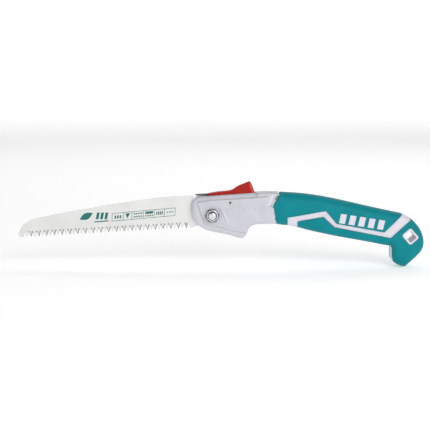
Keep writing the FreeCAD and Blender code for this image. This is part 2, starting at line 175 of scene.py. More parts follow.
def put(points, y):
    # from the pivot's plane and a distance across it to metres in the saw's frame
    return (np.stack([points[:, 0], y, points[:, 1]], axis=1) + pivot) / 1000


def newObject(name, vertices, faces, material, body, sharp=32):
    mesh = bpy.data.meshes.new(name)
    mesh.from_pydata(vertices.tolist(), [], faces)
    mesh.validate()
    mesh.update()
    mesh.shade_smooth()
    mesh.set_sharp_from_angle(angle=toRadians(sharp))
    made = bpy.data.objects.new(name, mesh)
    bpy.context.scene.collection.objects.link(made)
    for item in material if isinstance(material, (list, tuple)) else [material]:
        mesh.materials.append(item)
    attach(made, body)
    print(f"  {name}: {len(faces)} faces")
    return made


def steps(reach, count=6):
    # distances in from an edge that divide a quarter round evenly
    return [reach * (1 - math.cos(math.pi / 2 * k / count)) for k in range(1, count + 1)]


def flatMesh(outer, holes, creases, rings, grid):
    # Points on the outline, on rings inside it and on a grid, joined by a constrained Delaunay mesh.
    # creases are open or closed polylines that the triangles follow.
    loops = [outer, *holes]
    points, edges = [], []
    offset = 0
    for line, shut in [(loop, True) for loop in loops] + creases:
        count = len(line)
        points.append(line)
        first = np.arange(count if shut else count - 1) + offset
        last = np.where(first - offset == count - 1, offset, first + 1) if shut else first + 1
        edges.append(np.stack([first, last], axis=1))
        offset += count
    fixed = np.vstack(points)
    loose = []
    for loop in loops:
        normal = normals(loop)
        for depth in rings:
            for way in (-1, 1):
                ring = loop + way * depth * normal
                ring = ring[inside(ring, outer)]
                if len(ring):
                    gap = np.min([fromLine(ring, other, True) for other in loops], axis=0)
                    loose.append(ring[gap > depth * 0.96])
    low, high = outer.min(axis=0), outer.max(axis=0)
    xs, zs = np.meshgrid(np.arange(low[0], high[0], grid), np.arange(low[1], high[1], grid * 0.87))
    xs = xs + (np.arange(xs.shape[0]) % 2)[:, None] * grid / 2
    spread = np.stack([xs.ravel(), zs.ravel()], axis=1)
    spread = spread[inside(spread, outer)]
    away = np.min([fromLine(spread, loop, True) for loop in loops], axis=0)
    loose.append(spread[away > (max(rings) if rings else 0) + grid * 0.5])
    loose = np.vstack(loose)
    for line, shut in creases:
        loose = loose[fromLine(loose, line, shut) > 0.12]
    every = np.vstack([fixed, loose])
    found = delaunay_2d_cdt(every.tolist(), np.vstack(edges).tolist(), [], 0, 1e-5)
    points = np.array(found[0])
    faces = np.array(found[2])
    centres = points[faces].mean(axis=1)
    keep = inside(centres, outer)
    for hole in holes:
        keep &= ~inside(centres, hole)
    faces = faces[keep]
    used, faces = np.unique(faces, return_inverse=True)
    return points[used], faces.reshape(-1, 3)


def facedUp(points, faces):
    # triangles all wound the same way: those whose cross product is negative are reversed
    across = np.cross(points[faces[:, 1]] - points[faces[:, 0]], points[faces[:, 2]] - points[faces[:, 0]])
    return np.where((across < 0)[:, None], faces[:, ::-1], faces)


def rimWalls(faces, count):
    # one quad from each edge that a single triangle uses, down to the same edge of the second skin
    edges = np.vstack([faces[:, [0, 1]], faces[:, [1, 2]], faces[:, [2, 0]]])
    known = set(map(tuple, edges.tolist()))
    return [(b, a, a + count, b + count) for a, b in known if (b, a) not in known]


def slab(name, outer, over, under, material, body, holes=(), creases=(), rings=(), grid=2.0, side=-1,
         paint=None):
    # A closed piece over an outline: its outer skin stands at over(points) from the mid plane and its inner
    # skin at under(points), and a wall joins them round the outline and the holes. side -1 is the near side.
    points, faces = flatMesh(np.asarray(outer), [np.asarray(hole) for hole in holes],
                             [(np.asarray(line), shut) for line, shut in creases], list(rings), grid)
    faces = facedUp(points, faces)
    count = len(points)
    walls = rimWalls(faces, count)
    outerSkin = put(points, side * over(points))
    innerSkin = put(points, side * under(points))
    skins = faces.tolist() + (faces[:, ::-1] + count).tolist() + walls
    if side > 0:
        skins = [face[::-1] for face in skins]
    made = newObject(name, np.vstack([outerSkin, innerSkin]), skins, material, body)
    if paint is not None:
        centres = points[faces].mean(axis=1)
        marks = np.zeros(len(skins), int)
        marks[: len(faces)] = paint(centres)
        made.data.polygons.foreach_set("material_index", marks)
    return made


def fromHex(code):
    # sRGB hex to linear
    parts = np.array([int(code[i : i + 2], 16) for i in (1, 3, 5)]) / 255
    linear = np.where(parts <= 0.04045, parts / 12.92, ((parts + 0.055) / 1.055) ** 2.4)
    return (*linear, 1.0)


def addNode(tree, kind, settings=None, links=None):
    # one node, its settings by property or input name, and its links as input name -> output socket
    node = tree.nodes.new(kind)
    for key, value in (settings or {}).items():
        if key in node.inputs:
            node.inputs[key].default_value = value
        else:
            setattr(node, key, value)
    for key, socket in (links or {}).items():
        tree.links.new(socket, node.inputs[key])
    return node


def newMaterial(name, **sockets):
    material = bpy.data.materials.new(name)
    material.use_nodes = True
    tree = material.node_tree
    shader = tree.nodes["Principled BSDF"]
    for key, value in sockets.items():
        shader.inputs[key.replace("_", " ")].default_value = value
    place = addNode(tree, "ShaderNodeTexCoord").outputs["Object"]
    return material, tree, shader, place


def grain(tree, place, perMetre, detail=3.0, rough=0.55, stretch=(1, 1, 1)):
    # noise whose cells are 1 / perMetre metres across
    moved = addNode(tree, "ShaderNodeMapping", {"Scale": tuple(perMetre * s for s in stretch)}, {"Vector": place})
    return addNode(tree, "ShaderNodeTexNoise", {"Scale": 1.0, "Detail": detail, "Roughness": rough},
                   {"Vector": moved.outputs["Vector"]}).outputs["Fac"]


def tinted(tree, shader, factor, low, high):
    # base colour that drifts between two hex values, as the factor goes from 0.3 to 0.7
    spread = addNode(tree, "ShaderNodeMapRange", {"From Min": 0.3, "From Max": 0.7}, {"Value": factor})
    mix = addNode(tree, "ShaderNodeMix", {"data_type": "RGBA", "A": fromHex(low), "B": fromHex(high)},
                  {"Factor": spread.outputs["Result"]})
    tree.links.new(mix.outputs["Result"], shader.inputs["Base Color"])


def roughened(tree, shader, factor, low, high):
    # roughness that follows the factor between two values
    spread = addNode(tree, "ShaderNodeMapRange", {"To Min": low, "To Max": high}, {"Value": factor})
    tree.links.new(spread.outputs["Result"], shader.inputs["Roughness"])


def bumped(tree, shader, height, distance, strength=1.0):
    # distance is the relief's height in metres
    bump = addNode(tree, "ShaderNodeBump", {"Distance": distance, "Strength": strength}, {"Height": height})
    tree.links.new(bump.outputs["Normal"], shader.inputs["Normal"])


def makeSilverNylon():
    # glass-filled nylon moulded in silver grey: satin, with a spark-eroded grain drawn at 0.4 mm, coarser
    # than the real one, so that it shows
    material, tree, shader, place = newMaterial("moulded_silver_nylon", Roughness=0.42, Metallic=0.1, IOR=1.53)
    wide = grain(tree, place, 70, 4)
    fine = grain(tree, place, 2600, 2)
    tinted(tree, shader, wide, "#c2c2ca", "#cbcbd3")
    roughened(tree, shader, fine, 0.36, 0.5)
    bumped(tree, shader, fine, 0.00003, 0.6)
    return material


def makePaleNylon():
    # the same nylon where it shows between the grips, as moulded, slightly pinker and flatter; also laid on strips
    # along the housing's ridge and chevron slope as a painted highlight
    material, tree, shader, place = newMaterial("pale_nylon_and_painted_highlight", Roughness=0.46, IOR=1.53)
    tinted(tree, shader, grain(tree, place, 90, 4), "#d3cfdb", "#dcd8e2")
    fine = grain(tree, place, 2600, 2)
    roughened(tree, shader, fine, 0.4, 0.54)
    bumped(tree, shader, fine, 0.00003, 0.5)
    return material


def makeTealTpe():
    # overmoulded TPE: soft and matt, with an even etched grain drawn at 0.5 mm, coarser than the real one
    material, tree, shader, place = newMaterial("overmoulded_teal_tpe", Roughness=0.5, IOR=1.45,
                                                Specular_IOR_Level=0.16)
    fine = grain(tree, place, 1900, 3, 0.6)
    tinted(tree, shader, grain(tree, place, 55, 5), "#037c84", "#088790")
    roughened(tree, shader, fine, 0.42, 0.6)
    bumped(tree, shader, fine, 0.00005, 0.55)
    return material


def makeRedAbs(name, low, high):
    # gloss-moulded ABS, deep red, with faint flow waviness about 6 mm across
    material, tree, shader, place = newMaterial(name, Roughness=0.34, IOR=1.5, Coat_Weight=0.05,
                                                Coat_Roughness=0.25, Specular_IOR_Level=0.22)
    tinted(tree, shader, grain(tree, place, 160, 3), low, high)
    bumped(tree, shader, grain(tree, place, 900, 2), 0.00003, 0.35)
    return material


def makePlatedBlade():
    # hard-chromed carbon tool steel: pale satin, with lengthwise belt lines 0.2 mm apart and cloudy gloss
    material, tree, shader, place = newMaterial("chromed_tool_steel", Metallic=0.7, Roughness=0.4)
    cloud = grain(tree, place, 45, 5)
    belt = grain(tree, place, 5000, 2, 0.5, (0.02, 0.2, 1.0))
    tinted(tree, shader, cloud, "#dddddb", "#e6e6e4")
    roughened(tree, shader, belt, 0.33, 0.5)
    bumped(tree, shader, belt, 0.000012, 0.5)
    return material


def makeGroundTeeth():
    # steel bared by the grinding wheel: darker and brighter in turn, with wheel lines down the bevels
    material, tree, shader, place = newMaterial("ground_tooth_steel", Metallic=1.0, Roughness=0.28)
    lines = grain(tree, place, 6000, 2, 0.5, (1.0, 0.3, 0.08))
    tinted(tree, shader, lines, "#a6a7a7", "#bcbdbd")
    roughened(tree, shader, lines, 0.25, 0.42)
    return material


def makeBrightZinc():
    # bright zinc plate on turned steel: fine turning lines and slight cloudiness
    material, tree, shader, place = newMaterial("bright_zinc_plate", Metallic=1.0, Roughness=0.22)
    cloud = grain(tree, place, 700, 4)
    tinted(tree, shader, cloud, "#cfcfd2", "#e2e2e4")
    roughened(tree, shader, cloud, 0.14, 0.34)
    bumped(tree, shader, grain(tree, place, 3000, 2), 0.00001, 0.4)
    return material


def makePaintedShadeZinc():
    # the same plate, darker and duller, laid as painted shade and painted dark reflection on the nut's chamfers,
    # sides and base, with draw lines
    material, tree, shader, place = newMaterial("painted_shade_zinc_plate", Metallic=1.0, Roughness=0.36)
    tinted(tree, shader, grain(tree, place, 900, 3), "#66676a", "#7d7e81")
    bumped(tree, shader, grain(tree, place, 4000, 2), 0.00001, 0.5)
    return material


def makeHardSteel():
    # stamped spring steel, oil-blackened, with rubbed lighter patches about 3 mm across; also laid in the lever
    # pin's dish as painted shade
    material, tree, shader, place = newMaterial("blackened_spring_steel", Metallic=0.9, Roughness=0.38)
    rub = grain(tree, place, 330, 5)
    tinted(tree, shader, rub, "#4b4c47", "#75756d")
    roughened(tree, shader, rub, 0.3, 0.5)
    bumped(tree, shader, grain(tree, place, 4000, 2), 0.00001, 0.5)
    return material


def makeSlidePlastic():
    # black acetal washers, slightly waxy
    material, tree, shader, place = newMaterial("black_acetal", Roughness=0.35, IOR=1.48)
    tinted(tree, shader, grain(tree, place, 400, 3), "#161616", "#222222")
    return material


def makeDarkScrew():
    # black-oxide steel screws
    material, tree, shader, place = newMaterial("black_oxide_steel", Metallic=0.85, Roughness=0.42)
    tinted(tree, shader, grain(tree, place, 900, 4), "#2a2a2b", "#3c3c3d")
    return material


def makeBrass():
    # turned and knurled brass inserts, out of sight inside the shell
    material, tree, shader, place = newMaterial("knurled_brass", Metallic=1.0, Roughness=0.3)
    tinted(tree, shader, grain(tree, place, 900, 3), "#b8934a", "#c9a55b")
    return material


def makeInk():
    # pad-printed epoxy ink, thin and satin, with blotches about 1 mm across
    material, tree, shader, place = newMaterial("printed_teal_ink", Roughness=0.45, IOR=1.5)
    tinted(tree, shader, grain(tree, place, 900, 3), "#07645f", "#0e736d")
    return material


print("materials")
silver, pale, teal = makeSilverNylon(), makePaleNylon(), makeTealTpe()
# the cap's thumb bevel is painted lighter than the rest, as a painted highlight
red = makeRedAbs("moulded_red_abs", "#a00f08", "#ac170f")
highlightRed = makeRedAbs("painted_highlight_red_abs", "#bd3427", "#c9463a")
bladeSteel, groundSteel, zinc, hardSteel = makePlatedBlade(), makeGroundTeeth(), makeBrightZinc(), makeHardSteel()
acetal, blackScrew, brass, ink = makeSlidePlastic(), makeDarkScrew(), makeBrass(), makeInk()
shadedZinc = makePaintedShadeZinc()

cadFinish = {
    "pivot_screw": zinc, "pivot_bush": hardSteel, "near_pivot_washer": acetal, "far_pivot_washer": acetal,
    "head_washer": zinc, "lock_lever": hardSteel,
    "shell_screws": blackScrew, "shell_inserts": brass,
}
for node, material in cadFinish.items():
    mesh = nodes[node].data
    mesh.materials.clear()
    mesh.materials.append(material)


handle = {
    "front": [(-15.2, 18.5), (-20.4, 13.6), (-21.9, 4.6), (-19.1, -5.7), (-10.5, -13.7), (1.3, -18.0)],
    "guard": [(1.3, -18.0), (16.0, -21.0), (25.3, -23.7), (31.5, -24.2), (35.0, -20.0), (38.6, -12.6), (45.5, -9.8)],
    "belly": [(45.5, -9.8), (65.9, -9.8), (87.5, -13.1), (112.8, -19.2), (155.8, -27.3), (181.8, -32.4)],
    "back": [(53.7, 23.4), (71.8, 23.0), (91.7, 21.6), (120.0, 17.2), (155.8, 9.2), (193.6, 0.9)],
    "heel": [(193.6, 0.9), (202.3, -3.9), (209.4, -10.8), (215.1, -21.6), (215.8, -32.8), (205.8, -45.9),
             (197.4, -53.6)],
    "toe": [(197.4, -53.6), (191.0, -52.0), (183.2, -46.1), (181.8, -43.8)],
    "collar": [(69.0, 23.1), (67.4, 18.4), (62.3, 10.4), (62.0, 8.6), (63.4, 0.9), (65.5, -9.8)],
    "bandAbove": [(76.7, -11.0), (76.5, -2.4), (115.4, 4.7), (126.4, -8.4), (175.0, -17.3), (193.6, 0.9)],
    "bandBelow": [(86.6, -12.8), (86.6, -6.2), (112.8, -1.6), (124.2, -12.2), (181.6, -23.4), (202.6, -3.9)],
    "slotHalf": 1.5, "capPocket": 4.6, "coreHalf": 8.6, "bandHalf": 10.7, "gripHalf": 11.9,
    "wrap": 2.2, "fold": 165.0, "step": 0.7,
}
step = handle["step"]
backLine = smooth([handle["collar"][0]] + handle["back"][2:], step)
bellyLine = smooth(handle["belly"], step)
heelLine = smooth(handle["heel"], step)
toeLine = smooth(handle["toe"], step)
silhouette = joined(
    smooth(handle["front"], step), smooth(handle["guard"], step), bellyLine,
    dense([handle["belly"][-1], handle["toe"][-1]], step), toeLine[::-1], heelLine[::-1],
    backLine[::-1],
    dense([handle["collar"][0], handle["back"][0], handle["front"][0]], step),
)
band = joined(
    dense(handle["bandAbove"], step), dense([handle["bandAbove"][-1], (197.9, -1.2), handle["bandBelow"][-1]], step),
    dense(handle["bandBelow"][::-1], step), dense([handle["bandBelow"][0], handle["bandAbove"][0]], step),
)
toothStart, toothEnd = (-194.0, -23.9), (-22.6, -14.2)
foldLine = turned([toothEnd, toothStart], handle["fold"])
slot = dense([
    (-40, 60), (46, 60), (46, 14), (27, 12.2), (27, foldLine[0][1] + 1), (190.4, foldLine[1][1] + 2), (194.8, -26),
    (199.6, -30.4), (198.9, -35.1), (196.8, -45.4), (193.2, -59.1), (190, -80), (-40, -80), (-40, 60),
], 30)[:-1]
capPocket = np.array([(-5.6, 60), (44.6, 60), (44.6, 16.9), (-5.6, 16.9)], float)
eyelet = {
    "halfLong": 6.9, "halfWide": 6.1, "holeLong": 4.95, "holeWide": 4.0, "corner": 2.4, "half": 12.1, "tilt": -49.0,
}


def roundedBox(halfLong, halfWide, corner, tilt, centre, perCorner=8):
    # four quarter rounds joined by straights, turned by tilt
    turn = np.linspace(0, math.pi / 2, perCorner)
    quarter = corner * np.stack([np.cos(turn), np.sin(turn)], axis=1)
    parts = []
    for index, (u, v) in enumerate(((1, 1), (-1, 1), (-1, -1), (1, -1))):
        parts.append(turned(quarter, 90 * index) + [u * (halfLong - corner), v * (halfWide - corner)])
    loop = np.vstack(parts)
    loop = dense(np.vstack([loop, loop[:1]]), 0.8)[:-1]
    return turned(loop, tilt) + centre


def silhouetteDrop(points, reach, depth):
    # the edge round taken from the distance to the silhouette
    return roundOff(fromLine(points, silhouette, closed=True), reach, depth)


upper = joined(
    dense(handle["collar"], step), dense([handle["collar"][-1], handle["bandAbove"][0]], step),
    dense(handle["bandAbove"], step), backLine[::-1],
)
eyeletRing = roundedBox(eyelet["halfLong"], eyelet["halfWide"], eyelet["corner"], eyelet["tilt"], eyeletAt)
eyeletHole = roundedBox(eyelet["holeLong"], eyelet["holeWide"], eyelet["corner"] / 2, eyelet["tilt"], eyeletAt)


housing = {
    "plateau": [(-15.7, 12.6), (-14.2, 14.2), (-3.4, 15.4), (12.6, 16.6), (43.0, 18.5), (52.0, 19.2), (60.6, 20.6),
                (56.6, 11.0), (62.6, 8.0), (74.0, 6.0), (74.0, -24.0), (38.0, -24.0), (32.4, -17.8), (29.8, -18.4),
                (16.0, -15.2), (8.2, -12.8), (-6.6, -10.3), (-8.2, -9.0), (-12.0, 1.6), (-15.4, 11.2)],
    "chevron": [(60.8, 21.4), (56.4, 11.0)],
    "panel": [(12.6, 6.9), (15.9, 7.4), (31.5, 8.8), (53.3, 10.9), (62.6, 11.4), (62.0, -12.0), (20.0, -12.0)],
    "screws": [(53.0, 15.2), (114.0, 1.4), (187.6, -11.6)],
    "edgeReach": 6.2, "edgeDepth": 6.4, "topDepth": 3.2, "topBlend": (8, 15),
    "plateauRise": 1.4, "plateauRun": 1.0, "chevronRun": 2.6, "chevronReach": 5,
    "groove": 0.75, "grooveOut": 0.25, "grooveWidth": 0.55, "grooveEnd": (44, 52),
    "panelDepth": 0.7, "panelRun": 0.5, "panelBehind": (46, 60), "panelBelow": (-10, 2),
    "ridge": 1.0, "ridgeHalf": 1.0, "underGrip": 5.6,
    "bandReach": 5.5, "bandDrop": 7.5, "bandEdge": 0.5, "bandEdgeDrop": 0.35,
    "collarEnd": 67.5, "bandMargin": 0.9, "stripFrom": 180, "stripTo": 184.6, "stripTop": -31.8,
    "rings": [0.12, 0.4, 0.9, 1.6, 2.6, 3.7, 4.9, 6.2],
}
plateauLoop = dense(housing["plateau"] + housing["plateau"][:1], 1.2)[:-1]
panelLoop = dense(housing["panel"] + housing["panel"][:1], 1.2)[:-1]
ridgeLine = np.array([(9.2, 6.6), (16.2, -9.8)])
chevronLine = np.array(housing["chevron"])


def coreOver(points):
    # the core's outer skin: rounded at the silhouette, raised over the plateau and the accent band,
    # sunk over the panel behind the ridge
    x, z = points[:, 0], points[:, 1]
    deep = housing["edgeDepth"] + (housing["topDepth"] - housing["edgeDepth"]) * ramp(z, *housing["topBlend"])
    height = handle["coreHalf"] - silhouetteDrop(points, housing["edgeReach"], deep)
    onPlateau = signed(points, plateauLoop)
    nearChevron = 1 - ramp(fromLine(points, chevronLine), 0, housing["chevronReach"])
    run = housing["plateauRun"] + housing["chevronRun"] * nearChevron
    height = height + housing["plateauRise"] * np.clip(onPlateau / run, 0, 1)
    grooved = 1 - ramp(x, *housing["grooveEnd"])
    across = (onPlateau + housing["grooveOut"]) / housing["grooveWidth"]
    height = height - housing["groove"] * grooved * np.exp(-(across**2))
    sunk = (1 - ramp(x, *housing["panelBehind"])) * ramp(z, *housing["panelBelow"])
    height = height - housing["panelDepth"] * sunk * np.clip(signed(points, panelLoop) / housing["panelRun"], 0, 1)
    height = height + housing["ridge"] * np.clip(1 - fromLine(points, ridgeLine) / housing["ridgeHalf"], 0, 1)
    height = np.where(signed(points, upper) > 0.4, np.minimum(height, housing["underGrip"]), height)
    onBand = signed(points, band)
    raised = handle["bandHalf"] - silhouetteDrop(points, housing["bandReach"], housing["bandDrop"])
    raised = raised - roundOff(np.maximum(onBand, 0), housing["bandEdge"], housing["bandEdgeDrop"])
    return np.where(onBand > -0.02, raised, height)


def coreUnder(points):
    # the inner skin: at the joint, sunk for the blade's slot and further for the thumb cap
    depth = np.where(signed(points, slot) > -0.05, handle["slotHalf"], 0.0)
    return np.where(signed(points, capPocket) > -0.05, handle["capPocket"], depth)


def shrunk(loop, by):
    # a loop moved inwards, less the points that crossed over
    moved = loop + by * inwards(loop)
    return moved[fromLine(moved, loop, True) > by * 0.9]


def makeShell(name, side, holes):
    # the core under the grips is drawn in by their wrap, and stands out to the silhouette only where
    # it shows: the housing and the accent band
    gap = fromLine(silhouette, band, True)
    x, z = silhouette[:, 0], silhouette[:, 1]
    onStrip = (x > housing["stripFrom"]) & (x < housing["stripTo"]) & (z < housing["stripTop"])
    shows = (x < housing["collarEnd"]) | (gap < housing["bandMargin"]) | inside(silhouette, band) | onStrip
    outline = silhouette + inwards(silhouette) * np.where(shows, 0, handle["wrap"])[:, None]
    outline = outline[shows | (fromLine(outline, silhouette, True) > handle["wrap"] * 0.9)]
    creases = [(line, True) for line in (band, plateauLoop, shrunk(plateauLoop, housing["plateauRun"]), panelLoop,
                                         shrunk(panelLoop, 0.5), slot, capPocket, shrunk(upper, 0.5))]
    creases += [(dense(line, 1), False) for line in (ridgeLine, ridgeLine + (0.9, 0.25), ridgeLine - (0.9, 0.25))]
    # the pale nylon marks the accent band and the core past the collar, which are that colour, and strips along the
    # ridge and the chevron slope, which are a painted highlight
    slab(name, outline, coreOver, coreUnder, [silver, pale], "handle", holes=holes,
         creases=creases, rings=housing["rings"], grid=0.9, side=side,
         paint=lambda centres: (signed(centres, band) > -0.1) | (centres[:, 0] > 69)
         | (fromLine(centres, ridgeLine) < 0.85) | (fromLine(centres, chevronLine + (1.2, -0.4)) < 1.1))
    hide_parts(name.replace("_skin", ""))


print("shells")
pinHole = circle(leverPin, 1.8, 24)
shared = [circle((0, 0), 4.05, 40), pinHole, eyeletRing]
makeShell("near_shell_skin", -1, shared)
makeShell("far_shell_skin", 1, shared + [circle(at, 3.1, 28) for at in housing["screws"]])


grip = {
    "reach": 6.2, "depth": 8.8, "seam": 0.8, "seamDepth": 0.6, "least": 1.0,
    "rim": 2.6, "fallTo": 8.6, "rimDepth": 1.5, "rimStart": (66, 76), "rimEnd": (180, 190),
    "scoop": 2.0, "scoopReach": 9, "collarFall": 1.7, "collarBlend": (62, 92),
}
frontOfHook = np.array([handle["belly"][-1], handle["toe"][-1], handle["toe"][-2]])
bandLines = [np.array(handle["bandAbove"]), np.array(handle["bandBelow"])]


def gripOver(points):
    # rounded well over at the silhouette, a little at the seams, with a long slope up from the back's rim,
    # a scoop behind the hook's front, and the collar end brought down to the housing
    edge = fromLine(points, silhouette, closed=True)
    height = handle["gripHalf"] - roundOff(edge, grip["reach"], grip["depth"])
    seam = np.minimum(np.min([fromLine(points, line) for line in bandLines], axis=0),
                      fromLine(points, np.array(handle["collar"])))
    height = height - roundOff(seam, grip["seam"], grip["seamDepth"])
    fromBack = fromLine(points, backLine)
    slope = 1 - ramp(fromBack, grip["rim"], grip["fallTo"])
    x = points[:, 0]
    height = height - grip["rimDepth"] * slope * (1 - ramp(x, *grip["rimEnd"])) * ramp(x, *grip["rimStart"])
    height = height - grip["scoop"] * (1 - ramp(fromLine(points, frontOfHook), 0, grip["scoopReach"])) ** 1.5
    height = height - grip["collarFall"] * (1 - ramp(x, *grip["collarBlend"]))
    return np.maximum(height, grip["least"])


def gripUnder(points):
    # hollow over the core, whose edge lies one wrap inside the silhouette
    edge = fromLine(points, silhouette, closed=True)
    rest = np.where(signed(points, slot) > -1.2, handle["slotHalf"], 0.0)
    core = handle["coreHalf"] - 0.05
    return np.minimum(np.where(edge > handle["wrap"], core, rest), gripOver(points) - 0.4)


toeShown = toeLine[toeLine[:, 0] > 185.2]
hookFront = [toeShown[-1], (183.9, -44.4), (183.5, -42.6), (183.4, -35.0), (183.0, -33.4), handle["belly"][-1]]
lower = joined(
    dense(handle["bandBelow"], step), smooth([handle["bandBelow"][-1]] + handle["heel"][2:], step), toeShown,
    dense(hookFront, step), smooth([handle["bandBelow"][0]] + handle["belly"][3:], step)[::-1],
)

print("grips")
for side, where in ((-1, "near"), (1, "far")):
    for field, outline, holes in (("upper", upper, []), ("lower", lower, [eyeletRing])):
        name = f"{where}_{field}_grip"
        made = slab(f"{name}_skin", outline, gripOver, gripUnder, teal, "handle", holes=holes,
                    rings=steps(grip["reach"], 9), grid=1.3, side=side)
        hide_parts(name)


def eyeletOver(points):
    # flat ring with a 0.7 mm round outside and a 0.5 mm one at the hole
    outside = roundOff(fromLine(points, eyeletRing, True), 0.7, 0.7)
    return eyelet["half"] - outside - roundOff(fromLine(points, eyeletHole, True), 0.5, 0.5)


print("eyelet")
made = slab("lanyard_eyelet_skin", eyeletRing, eyeletOver, lambda points: -eyeletOver(points), pale, "handle",
            holes=[eyeletHole], rings=steps(0.7, 4), grid=0.8)
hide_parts("lanyard_eyelet")


cap = {
    "top": [(36.6, 33.6), (30.4, 31.0), (24.5, 28.2), (20.6, 25.6), (17.0, 24.5), (8.1, 23.5), (-4.4, 21.6)],
    "rear": [(42.4, 18.9), (42.8, 22.4), (41.9, 26.6), (40.4, 30.2), (39.2, 32.4), (38.2, 33.6), (36.6, 33.6)],
    "floor": [(-4.4, 21.6), (-4.4, 19.5), (8.0, 19.2), (14.0, 18.6), (42.4, 18.9)],
    "half": 4.2, "edge": 0.9, "bevel": 2.0, "bevelRun": 3.0,
}
capLoop = joined(dense(cap["floor"], 0.6), smooth(cap["rear"], 0.6), smooth(cap["top"], 0.6))
capRear = smooth(cap["rear"], 0.6)
capRear = capRear[: len(capRear) * 3 // 4]  # without the rounded top


def capOver(points):
    # rounded edges all round, and a broad bevel down the rear edge
    height = cap["half"] - roundOff(fromLine(points, capLoop, True), cap["edge"], cap["edge"])
    fromRear = fromLine(points, capRear)
    return height - cap["bevel"] * np.clip(1 - fromRear / cap["bevelRun"], 0, 1)


print("thumb cap")
# the faces along the rear bevel take the lighter red, which is a painted highlight
made = slab("thumb_cap_skin", capLoop, capOver, lambda points: -capOver(points), [red, highlightRed], "lock",
            rings=steps(cap["edge"], 5), grid=0.7,
            creases=[(capRear - (cap["bevelRun"], 0), False)],
            paint=lambda centres: fromLine(centres, capRear) < cap["bevelRun"] - 0.3)
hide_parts("thumb_cap")


nut = {"flats": 12.7, "height": 4.8, "bore": 4.02, "chamfer": 30.0, "faceShare": 0.87, "base": 10.0, "turn": 3.0}


def makeNut():
    # rings of points round the axis: bore, bore chamfer, face, corner cut, base. A hexagon of radius
    # r(a) = flats / 2 / cos(a), folded every 60 degrees, whose height falls by the chamfer's slope past
    # the inscribed circle
    count = 192
    angle = np.arange(count) * 2 * math.pi / count
    folded = (angle + math.pi / 6) % (math.pi / 3) - math.pi / 6
    hexagon = nut["flats"] / 2 / np.cos(folded)
    slope = math.tan(toRadians(nut["chamfer"]))
    circleIn = nut["flats"] / 2 * nut["faceShare"]
    rings = []
    bore, face = nut["bore"], nut["height"]
    for radius, height in ((bore, 0.3), (bore, face - 0.7), (bore + 0.6, face - 0.1), (bore + 0.75, face),
                           (circleIn - 0.1, face)):
        rings.append((np.full(count, radius), np.full(count, height)))
    for share in (0.1, 0.4, 0.7, 0.97):
        radius = circleIn + share * (hexagon - circleIn)
        rings.append((radius, nut["height"] - (radius - circleIn) * slope))
    rings.append((hexagon, nut["height"] - (hexagon - circleIn) * slope - 0.12))
    rings.append((hexagon, (hexagon - circleIn) * slope * 0.6 + 0.1))
    rings.append((hexagon - 0.12, (hexagon - circleIn) * slope * 0.6))
    rings.append((np.full(count, circleIn), np.zeros(count)))
    rings.append((np.full(count, nut["bore"] + 0.3), np.zeros(count)))
    spin = angle + math.pi / 6 + toRadians(nut["turn"])
    vertices = []
    for radius, height in rings:
        flat = np.stack([radius * np.cos(spin), radius * np.sin(spin)], axis=1)
        vertices.append(put(flat, -(nut["base"] + height)))
    index = np.arange(count)
    after = (index + 1) % count
    faces = []
    for ring in range(len(rings)):
        here, there = ring * count, (ring + 1) % len(rings) * count
        faces.append(np.stack([there + index, there + after, here + after, here + index], axis=1))
    made = newObject("pivot_nut_skin", np.vstack(vertices), np.vstack(faces).tolist(), [zinc, shadedZinc], "handle",
                     25)
    # the bore chamfer, the corner chamfers, the sides and the base take the darker plate as painted shade that
    # outlines the hexagon
    shadedRings = np.array([0, 1, 1, 0, 0, 1, 1, 1, 1, 1, 1, 1, 1, 0])[: len(rings)]
    made.data.polygons.foreach_set("material_index", np.repeat(shadedRings, count))
    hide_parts("pivot_nut")


print("nut")
makeNut()


pin = {"head": 2.3, "shank": 1.75, "end": 10.5, "under": 10.05, "dish": 1.25, "dishDepth": 1.1}


def turnedPiece(name, centre, profile, material, body, count, marks):
    # a profile of (radius, y) carried round the y axis through centre, with a flat face at each end
    angle = np.arange(count) * 2 * math.pi / count
    vertices = np.vstack([
        put(np.stack([centre[0] + radius * np.cos(angle), centre[1] + radius * np.sin(angle)], axis=1),
            np.full(count, y))
        for radius, y in profile
    ])
    index = np.arange(count)
    after = (index + 1) % count
    faces = []
    for ring in range(len(profile) - 1):
        here, there = ring * count, (ring + 1) * count
        faces += np.stack([there + index, there + after, here + after, here + index], axis=1).tolist()
    ends = [index.tolist(), ((len(profile) - 1) * count + index[::-1]).tolist()]
    made = newObject(name, vertices, faces + ends, material, body, 30)
    picked = np.concatenate([np.repeat(marks, count), [marks[0], marks[-1]]])
    made.data.polygons.foreach_set("material_index", picked)
    return made


print("lever pin")
headDepth = pin["end"] - pin["under"]
head = [(pin["dish"] * 0.4, pin["dishDepth"]), (pin["dish"] * 0.85, pin["dishDepth"] * 0.75), (pin["dish"], 0.12),
        (pin["dish"] + 0.12, 0.0), (pin["head"] - 0.25, 0.0), (pin["head"], 0.2), (pin["head"], headDepth),
        (pin["shank"], headDepth)]
pinProfile = [(radius, depth - pin["end"]) for radius, depth in head] + [
    (radius, pin["end"] - depth) for radius, depth in head[::-1]]
# the dish in each end of the pin and its end faces take the blackened steel, as painted shade in the recess
pinShadeMarks = np.array([1, 1, 0, 0, 0, 0, 0, 0, 0, 0, 0, 0, 0, 1, 1])
made = turnedPiece("lever_pin_skin", leverPin, pinProfile, [zinc, hardSteel], "handle", 48, pinShadeMarks)
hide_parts("lever_pin")


# clear is the room left under the sloping lever
spring = {"coil": 1.9, "wire": 0.3, "turns": 6.5, "clear": 0.25, "pressed": 0.82}


